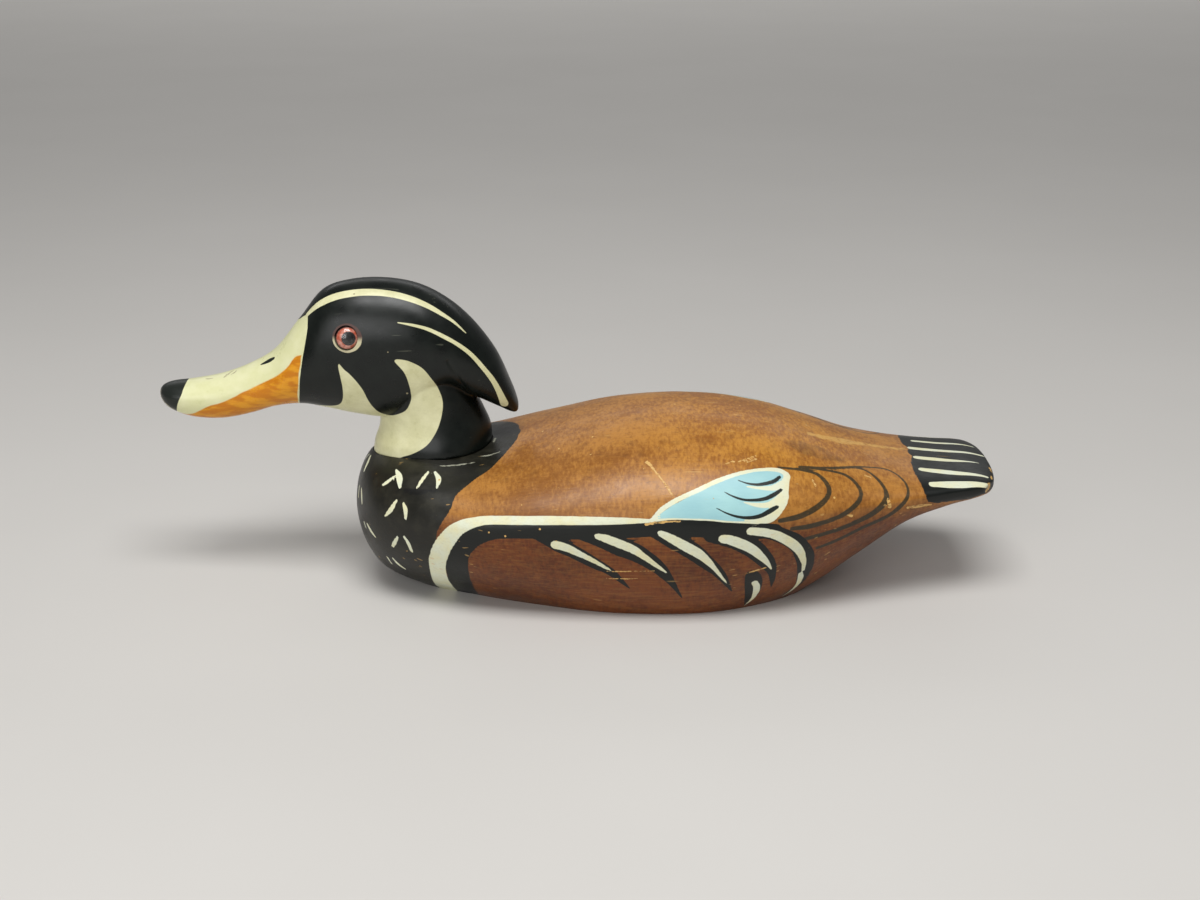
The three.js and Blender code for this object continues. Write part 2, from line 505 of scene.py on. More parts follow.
FEATHER_BLACK = [
    [(-16.5, 40, 2), (-11, 38.2, 3.2), (-6.5, 36, 3.7), (-2.4, 33.7, 3.2), (3, 30.6, 3), (8, 27.4, 2.6),
     (13.2, 24.3, 2), (17, 20.6, 1.4), (22, 15, 0.2)],
    [(2, 41, 2.4), (9, 39.1, 3.4), (13.6, 37.7, 4.2), (18, 35.5, 4.3), (22.7, 33.7, 4.2), (27.7, 30.6, 3.8),
     (32.5, 26.7, 3.2), (36, 22.5, 2.4), (39.4, 17.2, 1.4), (43.4, 9.7, 0.2)],
    [(30, 43, 2.4), (35, 40.8, 3.3), (39.7, 38.2, 3.8), (43.8, 35.8, 3.9), (47.8, 32.8, 3.8), (52, 28.7, 3.3),
     (56.6, 24.2, 2.6), (60, 19.4, 1.8), (63.8, 12, 0.2)],
    [(54, 40, 2.6), (59.8, 38.6, 3.2), (65.2, 37.2, 4), (71.8, 33, 4.2), (76.2, 28, 3.7), (78.9, 24, 2.9),
     (80, 20.2, 1.8), (80.5, 16, 1.2), (80.4, 12, 0.3)],
    [(71, 41.6, 2.6), (79.4, 39.8, 3.1), (86, 36.5, 3.5), (90.3, 32.7, 3.8), (93.5, 26.4, 4.2), (94.3, 20.6, 3.8),
     (93.7, 14.7, 3), (92.5, 9.5, 2), (89.3, 5.5, 1.3), (86.4, 2.5, 0.4)],
    [(71.6, 20, 3), (72, 18.9, 3.5), (72.6, 15, 3.9), (72.4, 9.5, 3.3), (71.2, 5.2, 1.9), (70, 1.7, 0.4)],
]
FEATHER_CREAM = [
    [(-8.4, 35.9, 1.9), (-3.8, 34.7, 1.8), (1.5, 32, 1.4), (7, 29, 1), (11.6, 26, 0.7), (14, 24.6, 0.4)],
    [(8.6, 40.3, 1.3), (12.3, 39.2, 1.8), (17.6, 37, 1.9), (23, 34.5, 1.8), (27.7, 31, 1.3), (32.5, 27, 0.9),
     (36.6, 23.5, 0.3)],
    [(33.7, 41.8, 1.2), (37.6, 39.8, 1.8), (43, 36.5, 2.1), (48.5, 33, 2.1), (52.6, 29.3, 1.6), (56, 25, 1),
     (61.4, 17, 0.3)],
    [(59, 38.8, 1.9), (62.5, 37.9, 2.1), (67.3, 35.6, 2.2), (71.5, 32.8, 2), (75, 29.2, 1.6), (77.7, 25.8, 1),
     (79.7, 22, 0.3)],
    [(70, 41.4, 1.7), (75.3, 40.6, 1.8), (80.5, 38.8, 1.9), (85, 36, 2), (89.2, 32.3, 2), (91.8, 28, 1.7),
     (93.3, 23, 1.1), (93.4, 18.5, 0.7)],
    [(92.5, 16.8, 1.1), (92.8, 13.7, 1.4), (92, 9.4, 1.1), (89.7, 5.3, 0.7), (86.5, 2, 0.3)],
    [(73, 15.7, 1.4), (74, 13.3, 1.5), (74, 9.6, 1.4), (72.7, 5.4, 0.8), (70, 1.6, 0.3)],
]
PATCH = [
    (31.5, 47.6), (37, 51.8), (43.1, 54.6), (48.2, 57), (55, 59.6), (62, 61.6), (70, 62.4), (77, 62.2),
    (83, 60.8), (84.5, 58.5), (83.5, 55), (82.5, 51.5), (79.5, 48), (76, 46), (71.5, 45.3), (60.6, 46.2),
    (45.5, 47.6), (35, 47.6),
]
PATCH_EDGES = [
    [(30.4, 47.3, 0.8), (34.4, 51.2, 1), (40.8, 54.6, 1), (48.4, 57.3, 1), (56, 59.9, 1), (64, 61.7, 0.9),
     (71, 62.4, 0.8), (77.5, 62.3, 0.9), (82.5, 61.5, 1.1), (85.4, 60.1, 1.2)],
    [(85.4, 59.6, 1.5), (84.6, 57.4, 1.6), (84, 55, 1.7), (84, 53.4, 1.8), (82.8, 50.8, 1.7), (80.4, 48, 1.7),
     (77.6, 46, 1.6), (73.5, 45.3, 0.8)],
    [(31, 47, 0.6), (37.5, 47.6, 0.35), (45.5, 47.4, 0.3), (53.6, 46.9, 0.35), (60.6, 46, 0.35),
     (67.2, 45.4, 0.4), (73, 45, 0.7)],
]
PATCH_LINES = [
    [(64.7, 60.2, 0.2), (69, 58.9, 0.4), (73, 58.3, 0.65), (77, 58.4, 0.8), (80.3, 58.9, 0.9), (82.4, 59.8, 0.7)],
    [(59.5, 56.7, 0.2), (62.7, 55.2, 0.35), (67.2, 53.8, 0.5), (71.8, 53.4, 0.65), (75.9, 53.6, 0.8),
     (79.5, 54.6, 0.9), (82.9, 56, 0.6)],
    [(56.3, 51.3, 0.2), (60, 49.4, 0.35), (64.6, 47.8, 0.5), (69.2, 47.1, 0.7), (73.8, 47.5, 0.85),
     (77.8, 49.1, 1), (80.8, 50.4, 0.8)],
]
PATCH_LIGHTS = [
    [(68.4, 58, 0.2), (74, 57.2, 0.7), (79, 56.8, 1.2), (83.9, 57.5, 2)],
    [(67, 53, 0.2), (71.8, 51.8, 0.8), (76.8, 51.3, 1.1), (81, 52.6, 1.7), (83.6, 54.2, 2)],
    [(67.2, 46.3, 0.2), (72.3, 46, 0.8), (76.8, 46.6, 1.4), (80.4, 48.9, 1.8)],
]
LOOPS = [
    [(82, 62.4, 0.6), (91, 60.6, 0.7), (98.6, 58.3, 0.9), (102.5, 54.8, 1.1), (102.2, 51.8, 1.1),
     (97.8, 48.6, 1.2), (90.3, 45.8, 1.2), (82, 44.9, 0.9)],
    [(90, 61, 0.5), (100.6, 59.2, 0.5), (110.4, 56.4, 0.8), (115.4, 53, 0.9), (116.2, 50, 1), (113, 46.7, 1.1),
     (106.4, 43.2, 1.1), (95.5, 41, 1.1), (87, 40.8, 0.9)],
    [(104, 58.9, 0.4), (117.4, 56.5, 0.5), (123.7, 53.9, 0.7), (127, 50.6, 0.9), (126.3, 47.2, 1.4),
     (121, 42.6, 1.3), (111.8, 38.9, 1.1), (102.5, 36.7, 1), (93.3, 35.3, 0.9)],
    [(91.3, 61.2, 0.7), (108.7, 58.3, 0.6), (122, 56, 0.5), (130, 54.4, 0.5), (135.2, 52.3, 0.5),
     (136.6, 49.7, 0.6), (134, 45.5, 1), (128, 40.6, 1), (117.2, 36.4, 0.9), (107, 32.3, 0.9),
     (98, 29.8, 0.7)],
]
TAIL_FRONT = [
    (141.3, 0, 54.2), (142.8, -5, 54), (141.3, -11, 53.9), (141.2, -18, 53.4), (141.5, -25, 52.4),
    (142.9, -32, 50.3), (143.6, -35.8, 47.5), (145.2, -36, 44.5), (146, -33, 40),
]
TAIL_UNDERSIDE = [(140, 46), (150, 43.8), (162, 43.6), (168, 45.2), (172, 45.8), (177, 46)]
TAIL_STROKES = [
    [(148, 29.5, 50.5, 0.8), (168, 26.5, 50, 0.3)],
    [(147, 17.4, 53, 1.3), (160, 16, 52.4, 1.1), (173, 14, 50.8, 0.4)],
    [(144, 6, 53.8, 1.6), (158, 5, 53, 1.4), (175, 3.2, 51, 0.7)],
    [(144.8, -5.6, 53.8, 1.7), (155, -6.4, 53.2, 1.7), (171, -7.8, 52, 0.2)],
    [(145, -18.2, 53, 1.6), (156, -19.6, 52.3, 1.9), (172, -21.7, 50.7, 0.7)],
    [(147.5, -30, 50.8, 1.7), (158, -29, 50.2, 2.2), (170.5, -27.6, 49.3, 1.2)],
]
BREAST_TICKS = [
    [(-75.5, -27.5, 53.6, 0.5), (-78.4, -28.6, 51.4, 0.9), (-81.2, -28.7, 49.6, 0.4)],
    [(-75.4, -24.5, 55.2, 0.4), (-73.6, -29, 53.4, 1.4), (-73, -33.4, 50.8, 0.7)],
    [(-61.4, -28.8, 55.9, 0.5), (-63.6, -32.8, 54.1, 0.9), (-65.6, -36.2, 51.7, 0.6)],
    [(-58.9, -28.9, 56, 0.5), (-56.9, -33.5, 54.4, 1.1), (-57.3, -38, 52.2, 0.4)],
    [(-92.8, -12.5, 43.2, 0.6), (-93.3, -13.5, 38.5, 0.5)],
    [(-91.4, -16.7, 43.9, 0.5), (-91.2, -19, 41, 0.9), (-90.9, -20.6, 38.2, 0.5)],
    [(-74.4, -36.9, 46.2, 0.6), (-76.6, -37.3, 42.6, 1.1), (-79.3, -36.1, 39, 0.5)],
    [(-71.3, -39, 45.9, 0.5), (-70.2, -41.1, 43.2, 1.1), (-70.4, -41.9, 40, 0.6)],
    [(-90.2, -22.3, 30.6, 0.6), (-89, -23.5, 28, 0.4)],
    [(-88.6, -25.4, 31.2, 0.5), (-86.6, -28, 29, 0.9), (-84.2, -30.5, 26.8, 0.3)],
    [(-74.1, -39.5, 31, 0.5), (-75.4, -38, 28.2, 0.9), (-76.8, -36.3, 25.4, 0.7)],
    [(-71.4, -41.3, 32, 0.5), (-69.6, -41.8, 29.3, 0.9), (-68.3, -41.4, 25.3, 0.7)],
    [(-80.2, -30.4, 18.5, 0.4), (-78.4, -28.5, 14.1, 0.5)],
    [(-77.5, -32.4, 18.3, 0.4), (-75.3, -32, 15.2, 0.8), (-72.2, -32, 13, 0.4)],
    [(-89.6, -3, 54.4, 0.5), (-91.3, -1.8, 51.2, 0.4)],
    [(-88.3, -6, 54.8, 0.5), (-89.2, -10, 52.6, 1), (-90.6, -12, 50, 0.6)],
]
BODY_SCRATCHES = [
    [(28.6, -43.5, 65.6, 0.9), (30, -45, 64.7, 0.6), (34.9, -51.6, 60.3, 0.3), (36, -53, 59.2, 0.6),
     (38.8, -56.2, 55.8, 0.3)],
    [(60.2, -43.9, 64.9, 0.2), (64, -42, 65.3, 0.3)],
    [(65, -42.5, 65.1, 0.3), (73.5, -37.6, 66.2, 0.2)],
    [(69, -42, 64.6, 0.2), (74, -39, 65.6, 0.25)],
    [(27.6, -61, 45.4, 0.4), (31.6, -61, 46.2, 0.6), (37.6, -60.8, 46.6, 0.35), (42, -60.5, 46.8, 0.5)],
    [(12, -59, 23.9, 0.15), (32, -59.5, 24.5, 0.25)],
    [(11, -58, 20.2, 0.15), (26, -58.5, 20.5, 0.2)],
    [(69, -55, 21.2, 0.3), (73, -54.4, 22.4, 0.4), (78, -53.7, 23.7, 0.3)],
    [(5.5, -35.8, 65.8, 0.2), (6.8, -34.4, 66.5, 0.3)],
    [(86.8, -9, 69.8, 0.25), (88.4, -9, 69.3, 0.3)],
    [(127.6, -40.5, 48.4, 0.5), (128.5, -40.7, 44.9, 0.9)],
    [(110.4, -46.6, 43.6, 0.3), (112.4, -45.8, 42.9, 0.7)],
    [(95.7, -41.2, 58, 0.2), (97.2, -44, 55.6, 0.5)],
    [(118.8, -30.6, 55.6, 0.3), (121.5, -31.4, 54.6, 0.5)],
    [(136, -38.3, 43.4, 0.5), (142, -36, 43.4, 0.8), (146.5, -34.5, 43.4, 0.4)],
    [(171.5, -26.6, 49.6, 0.6), (172.5, -26, 48, 1.2), (170.5, -27.6, 46.6, 0.7)],
    [(175, -10.5, 50.8, 0.4), (175.2, -14, 50.4, 0.6)],
    [(174.2, -19.5, 50.3, 0.5), (173.6, -22, 49.8, 0.4)],
]
RUMP_STREAKS = [
    [(98, -10.5, 66, 1.2), (106, -8, 63.5, 2.2), (113, -5, 61, 2.6), (125.4, -0.5, 57.4, 1.4),
     (141.3, 3.5, 54.2, 0.8)],
]
RUMP_SMUDGES = [
    [(88, -24, 67, 2), (96.7, -24.3, 64.2, 4.5), (103, -24.5, 62, 4), (110, -24.4, 59.5, 1.5)],
]

SMEARS = [
    [(-71.5, -35.5, 50.4, 0.8), (-66, -37.8, 50.4, 1.4), (-62.5, -38.5, 50.8, 1), (-57, -39, 51.3, 0.5)],
]
# Pale grey streaks on the collar's shoulder by the neck: partly scuffs, partly a painted highlight.
COLLAR_SCUFFS_AND_HIGHLIGHT = [
    [(-56.9, -25.3, 57, 0.3), (-50, -24.5, 57.5, 0.5), (-42.5, -22.8, 57.9, 0.3)],
    [(-40.7, -18.1, 58.8, 0.3), (-37.5, -18.6, 59.3, 0.5), (-34, -18, 60, 0.4), (-32.3, -17.1, 60.7, 0.2)],
    [(-35.6, -6.5, 60.6, 0.3), (-35.4, -3.3, 61, 0.6), (-35.2, -1, 61.2, 0.3)],
]

# The paint on the head
BILL_EDGE = [
    (-116.6, 0, 112.8), (-115.3, -3, 114.2), (-112.8, -6, 116.4), (-111.3, -8.6, 117), (-111, -12.5, 112.8),
    (-112, -14.8, 106.8), (-113, -15.7, 102), (-114.3, -16.2, 94.7), (-115.6, -13.6, 85), (-116.7, -8.4, 79.1),
    (-117, -4, 77.3), (-117, 0, 77),
]
NAIL_EDGE = [
    (-164.8, 0, 86.8), (-165.2, -5, 86), (-166.2, -9, 82.7), (-168.2, -9, 77.9), (-169, -5, 74.4),
    (-169.3, 0, 73.8),
]
ORANGE_EDGE = [
    (-171, -5, 73), (-163.4, -7.8, 73.9), (-154.6, -10, 78.2), (-147.2, -10.3, 80.5), (-139.3, -10.6, 84.6),
    (-131.6, -11.4, 88.5), (-124.4, -12.8, 92.7), (-119.6, -13.9, 97), (-116.4, -14.2, 101.2),
    (-113, -15.5, 102.4), (-108, -16.6, 104),
]
CHEEK = [
    (-98.1, 99.3), (-95.6, 97), (-92.7, 94.1), (-88.8, 88.6), (-86.4, 82.2), (-83.5, 77.2), (-80.5, 75),
    (-77.7, 74.5), (-71.7, 77.7), (-69.1, 82.5), (-68.8, 86), (-69.3, 90.2), (-71.1, 95.9), (-74.8, 100.9),
    (-72.5, 101.5), (-68.2, 100.4), (-62.9, 96.8), (-58, 88.9), (-55.8, 81.5), (-57.1, 73.5), (-59.7, 67.7),
    (-63.5, 63.2), (-69.6, 59.6), (-75, 57), (-82, 50), (-100, 48), (-121, 60), (-121, 77.2), (-113, 77.6),
    (-108, 78), (-103, 78.6), (-99, 80.3), (-97.2, 84), (-97, 90),
]
HEAD_STRIPES = [
    [(-111.8, -7.6, 117.4, 1.3), (-105.2, -9.4, 122.8, 1.7), (-97.6, -9.7, 126, 1.8), (-90, -9.9, 127.4, 1.8),
     (-82.7, -10.1, 127.6, 1.7), (-75.4, -10.4, 126.8, 1.6), (-68.4, -10.8, 125, 1.5), (-61, -11, 121.9, 1.3),
     (-55.5, -10.9, 118.6, 1), (-50.4, -10.6, 114.9, 0.7), (-45.8, -10.5, 110.2, 0.2)],
    [(-73, -17.5, 116.7, 0.2), (-66.7, -17.1, 115.4, 0.5), (-60.9, -16.6, 113.6, 0.7), (-55.3, -16, 110.7, 0.8),
     (-49.5, -15, 107, 0.8), (-43.7, -13.8, 102, 0.9), (-38.9, -12.8, 95.9, 1), (-35, -11.4, 90, 1.1),
     (-32.4, -10.2, 84.2, 1.3), (-30.6, -8.4, 78.6, 1.7)],
]
NOSTRIL = [(-132.6, 95, 0.25), (-130.6, 96, 0.8), (-128.3, 97.3, 1.05), (-126.6, 98.3, 0.7)]
HEAD_CHIPS = [
    [(-157, -2, 88, 0.2), (-155.5, -2.6, 88.2, 0.45), (-153.6, -2.9, 88.5, 0.2)],
    [(-148.6, -4.2, 89.4, 0.3), (-147.4, -2.8, 90.2, 0.6), (-145.4, -1.2, 90.9, 0.3)],
    [(-145.6, -3.8, 90.6, 0.2), (-144.4, -3.2, 91.1, 0.4), (-143.6, -2.2, 91.5, 0.2)],
    [(-176, -3, 83, 0.4), (-176.2, -4, 80.5, 0.7), (-174, -6.5, 76.8, 0.8), (-170.5, -7, 74.6, 0.5)],
]
PUTTY_WIDTH = 0.7


def higher_on_right(rows):
    """The right wing patch and loops reach most of the way up to the ridge, unlike the left ones."""
    lifted = []
    for x, z, *width in rows:
        ridge = np.interp(x, [station[0] for station in BODY], [station[2] for station in BODY])
        share = 0.78 * min(1, max(0, (z - 46.5) / 11))
        lifted.append((x - 3, z + share * max(0, ridge - z), *width))
    return lifted


def paint_body(body):
    surface = Surface(body)
    surface.fill_where("collar", -surface.past(COLLAR_EDGE))
    underside = np.interp(surface.points[:, 0], *np.array(TAIL_UNDERSIDE).T)
    surface.fill_where("tail", np.minimum(surface.past(TAIL_FRONT), surface.points[:, 2] - underside))
    for rows in [BLACK_BAND, *FEATHER_BLACK]:
        surface.stroke("black", rows)
    for rows in [WHITE_BAND, *FEATHER_CREAM, *BREAST_TICKS]:
        surface.stroke("white", rows)
    for rows in TAIL_STROKES:
        surface.stroke("white", rows, "left")
    surface.fill("blue", PATCH, "left")
    surface.fill("blue", higher_on_right(PATCH), "right")
    sorts = {"white": PATCH_EDGES + PATCH_LIGHTS, "lines": PATCH_LINES, "loops": LOOPS}
    for coat, strokes in sorts.items():
        for rows in strokes:
            surface.stroke(coat, rows, "left")
            surface.stroke(coat, higher_on_right(rows), "right")
    marks = {"scratches": BODY_SCRATCHES, "streaks": RUMP_STREAKS, "smudges": RUMP_SMUDGES,
             "smears": SMEARS, "scuffs_and_highlight": COLLAR_SCUFFS_AND_HIGHLIGHT}
    for coat, strokes in marks.items():
        for rows in strokes:
            surface.stroke(coat, rows, "left")
    surface.keep()


def paint_head(head):
    surface = Surface(head)
    past_bill = surface.past(BILL_EDGE)
    surface.fill_where("crown", past_bill)
    surface.fill_where("orange", np.minimum(-surface.past(ORANGE_EDGE), -past_bill - 0.6))
    surface.fill_where("nail", -surface.past(NAIL_EDGE))
    surface.fill("white", CHEEK)
    for rows in HEAD_STRIPES:
        surface.stroke("white", rows)
    surface.stroke("nostril", NOSTRIL)
    for rows in HEAD_CHIPS:
        surface.stroke("scratches", rows, "left")
    # The putty ring round each eye; its material paints the ring's lower half pale, as a painted highlight.
    for side in (-1, 1):
        inward = np.array(eye_place(side).inverted())
        places = surface.points @ inward[:3, :3].T + inward[:3, 3]
        from_eye = np.where(np.abs(places[:, 1]) < 8, np.linalg.norm(places[:, [0, 2]], axis=1), FAR)
        surface.fill_where("putty_and_lit_rim", EYE_RADIUS + FIT_GAP + PUTTY_WIDTH - from_eye)
    surface.keep()


def tint(red, green, blue):
    """A paint colour picked on the usual 0 to 255 scale, as the shader's linear one."""
    return (*[((v / 255 + 0.055) / 1.055) ** 2.4 if v > 10 else v / 3295 for v in (red, green, blue)], 1)


class Nodes:
    """Adds nodes to one tree, each fed by plain values or by the outputs of others."""

    def __init__(self, tree):
        self.tree = tree

    def feed(self, socket, value):
        if isinstance(value, bpy.types.NodeSocket):
            self.tree.links.new(value, socket)
        else:
            socket.default_value = value

    def add(self, kind, sockets, output=0, **settings):
        node = self.tree.nodes.new(kind)
        for name, value in settings.items():
            setattr(node, name, value)
        for socket, value in sockets.items():
            self.feed(node.inputs[socket], value)
        return node.outputs[output]

    def math(self, operation, first, second=0.0):
        return self.add("ShaderNodeMath", {0: first, 1: second}, operation=operation)

    def ramp(self, value, low, high, to_low=0.0, to_high=1.0):
        """Follows a value smoothly from one end to the other."""
        sockets = {"Value": value, "From Min": low, "From Max": high, "To Min": to_low, "To Max": to_high}
        return self.add("ShaderNodeMapRange", sockets, interpolation_type="SMOOTHSTEP")

    def noise(self, place, size, detail=2.0, roughness=0.5):
        """Cloudy unevenness whose patches are about so many millimetres wide."""
        sockets = {"Vector": place, "Scale": 1 / size, "Detail": detail, "Roughness": roughness}
        return self.add("ShaderNodeTexNoise", sockets)

    def stretch(self, place, factors):
        return self.add("ShaderNodeVectorMath", {0: place, 1: factors}, operation="MULTIPLY")

    def mix(self, share, first, second):
        return self.add("ShaderNodeMix", {0: share, 6: first, 7: second}, output=2, data_type="RGBA")

    def place(self):
        """The place on the piece, in millimetres."""
        spot = self.add("ShaderNodeTexCoord", {}, output="Object")
        return self.stretch(spot, (1000, 1000, 1000))


def new_group(name, inputs, outputs):
    """A node group with named inputs and outputs. Gives it with its nodes, and its input and output sockets."""
    group = bpy.data.node_groups.new(name, "ShaderNodeTree")
    for label, kind, value in inputs:
        socket = group.interface.new_socket(label, in_out="INPUT", socket_type=kind)
        if value is not None:
            socket.default_value = value
    for label, kind in outputs:
        group.interface.new_socket(label, in_out="OUTPUT", socket_type=kind)
    taken = group.nodes.new("NodeGroupInput").outputs
    given = group.nodes.new("NodeGroupOutput").inputs
    return group, Nodes(group), taken, given


VECTOR = "NodeSocketVector"
VALUE = "NodeSocketFloat"


def make_brush_edge():
    """How far a coat of paint covers, from the distances to its stroke's two edges, with a hand's wobble
    and thin places where the brush ran dry."""
    group, nodes, taken, given = new_group(
        "brush_edge",
        [("Stroke", VECTOR, None), ("Place", VECTOR, None), ("Wobble", VALUE, 0.15),
         ("Wobble Size", VALUE, 3.0), ("Softness", VALUE, 0.12), ("Dryness", VALUE, 0.0)],
        [("Cover", VALUE)])
    edges = nodes.tree.nodes.new("ShaderNodeSeparateXYZ")
    nodes.feed(edges.inputs[0], taken["Stroke"])
    inner = nodes.math("MINIMUM", edges.outputs[0], edges.outputs[1])
    scale = nodes.math("DIVIDE", 1.0, taken["Wobble Size"])
    wave = nodes.add("ShaderNodeTexNoise", {"Vector": taken["Place"], "Scale": scale, "Detail": 2.0})
    shift = nodes.math("MULTIPLY", nodes.math("SUBTRACT", wave, 0.5), taken["Wobble"])
    edge = nodes.math("ADD", inner, nodes.math("MULTIPLY", shift, 2.0))
    cover = nodes.ramp(edge, nodes.math("MULTIPLY", taken["Softness"], -1.0), taken["Softness"])
    hairs = nodes.noise(nodes.stretch(taken["Place"], (0.35, 1, 1)), 0.7, 3.0, 0.6)
    gaps = nodes.ramp(hairs, 0.66, 0.5)
    thin = nodes.math("SUBTRACT", 1.0, nodes.math("MULTIPLY", taken["Dryness"], nodes.math("SUBTRACT", 1.0, gaps)))
    nodes.feed(given["Cover"], nodes.math("MULTIPLY", cover, thin))
    return group


def make_wood_grain():
    """Fine fibres along the block, pores between them, and broad cloudy patches where the stain took more."""
    group, nodes, taken, given = new_group(
        "wood_grain", [("Place", VECTOR, None)],
        [("Clouds", VALUE), ("Mottle", VALUE), ("Fibres", VALUE), ("Pores", VALUE)])
    place = taken["Place"]
    nodes.feed(given["Clouds"], nodes.noise(nodes.stretch(place, (0.6, 1, 1)), 22, 3.0, 0.55))
    nodes.feed(given["Mottle"], nodes.noise(nodes.stretch(place, (1, 0.45, 0.45)), 1.3, 3.0, 0.6))
    nodes.feed(given["Fibres"], nodes.noise(nodes.stretch(place, (0.07, 1, 1)), 0.9, 4.0, 0.6))
    pores = nodes.noise(nodes.stretch(place, (0.35, 1, 1)), 0.8, 2.0, 0.5)
    nodes.feed(given["Pores"], nodes.ramp(pores, 0.58, 0.75))
    return group


def make_handling_wear():
    """Tiny chips and short hairline scratches from years of handling."""
    group, nodes, taken, given = new_group(
        "handling_wear", [("Place", VECTOR, None), ("Chips", VALUE, 0.3)],
        [("Chips", VALUE), ("Hairlines", VALUE), ("Rubbed", VALUE)])
    place = taken["Place"]
    cells = nodes.tree.nodes.new("ShaderNodeTexVoronoi")
    nodes.feed(cells.inputs["Vector"], place)
    cells.inputs["Scale"].default_value = 1 / 7
    picked = nodes.tree.nodes.new("ShaderNodeSeparateColor")
    nodes.feed(picked.inputs[0], cells.outputs["Color"])
    size = nodes.ramp(picked.outputs[0], nodes.math("SUBTRACT", 1.0, taken["Chips"]), 1.0, 0.0, 0.075)
    nodes.feed(given["Chips"], nodes.math("GREATER_THAN", size, cells.outputs["Distance"]))
    long = nodes.noise(nodes.stretch(place, (0.06, 1, 1)), 1.1, 0.0)
    here = nodes.noise(place, 14, 1.0)
    lines = nodes.math("MULTIPLY", nodes.ramp(long, 0.76, 0.8), nodes.ramp(here, 0.55, 0.62))
    nodes.feed(given["Hairlines"], lines)
    nodes.feed(given["Rubbed"], nodes.noise(place, 9, 4.0, 0.65))
    return group


BRUSH_EDGE = make_brush_edge()
WOOD_GRAIN = make_wood_grain()
HANDLING_WEAR = make_handling_wear()


class Finish(Nodes):
    """A piece's material, built up coat by coat on one Principled shader."""

    def __init__(self, name):
        self.material = bpy.data.materials.new(name)
        self.material.use_nodes = True
        super().__init__(self.material.node_tree)
        self.shader = self.tree.nodes["Principled BSDF"]
        self.spot = self.place()

    def group(self, group, sockets):
        node = self.tree.nodes.new("ShaderNodeGroup")
        node.node_tree = group
        for socket, value in sockets.items():
            self.feed(node.inputs[socket], value)
        return node.outputs

    def cover(self, coat, wobble=0.15, size=3.0, softness=0.12, dryness=0.0):
        """Where a coat that was laid out on the piece covers it."""
        stroke = self.add("ShaderNodeAttribute", {}, output="Vector", attribute_name=coat)
        sockets = {"Stroke": stroke, "Place": self.spot, "Wobble": wobble, "Wobble Size": size,
                   "Softness": softness, "Dryness": dryness}
        return self.group(BRUSH_EDGE, sockets)["Cover"]

    def finish(self, colour, roughness, height, depth, plain):
        bump = self.add("ShaderNodeBump", {"Height": height, "Distance": depth * METRES, "Strength": 1.0})
        self.feed(self.shader.inputs["Base Color"], colour)
        self.feed(self.shader.inputs["Roughness"], roughness)
        self.feed(self.shader.inputs["Normal"], bump)
        for name, value in plain.items():
            self.shader.inputs[name].default_value = value
        return self.material


BARE_WOOD = tint(212, 170, 100)
PAINT_BLACK = tint(10, 14, 11)
PAINT_CREAM = tint(226, 222, 180)
PAINT_WHITE = tint(222, 226, 202)


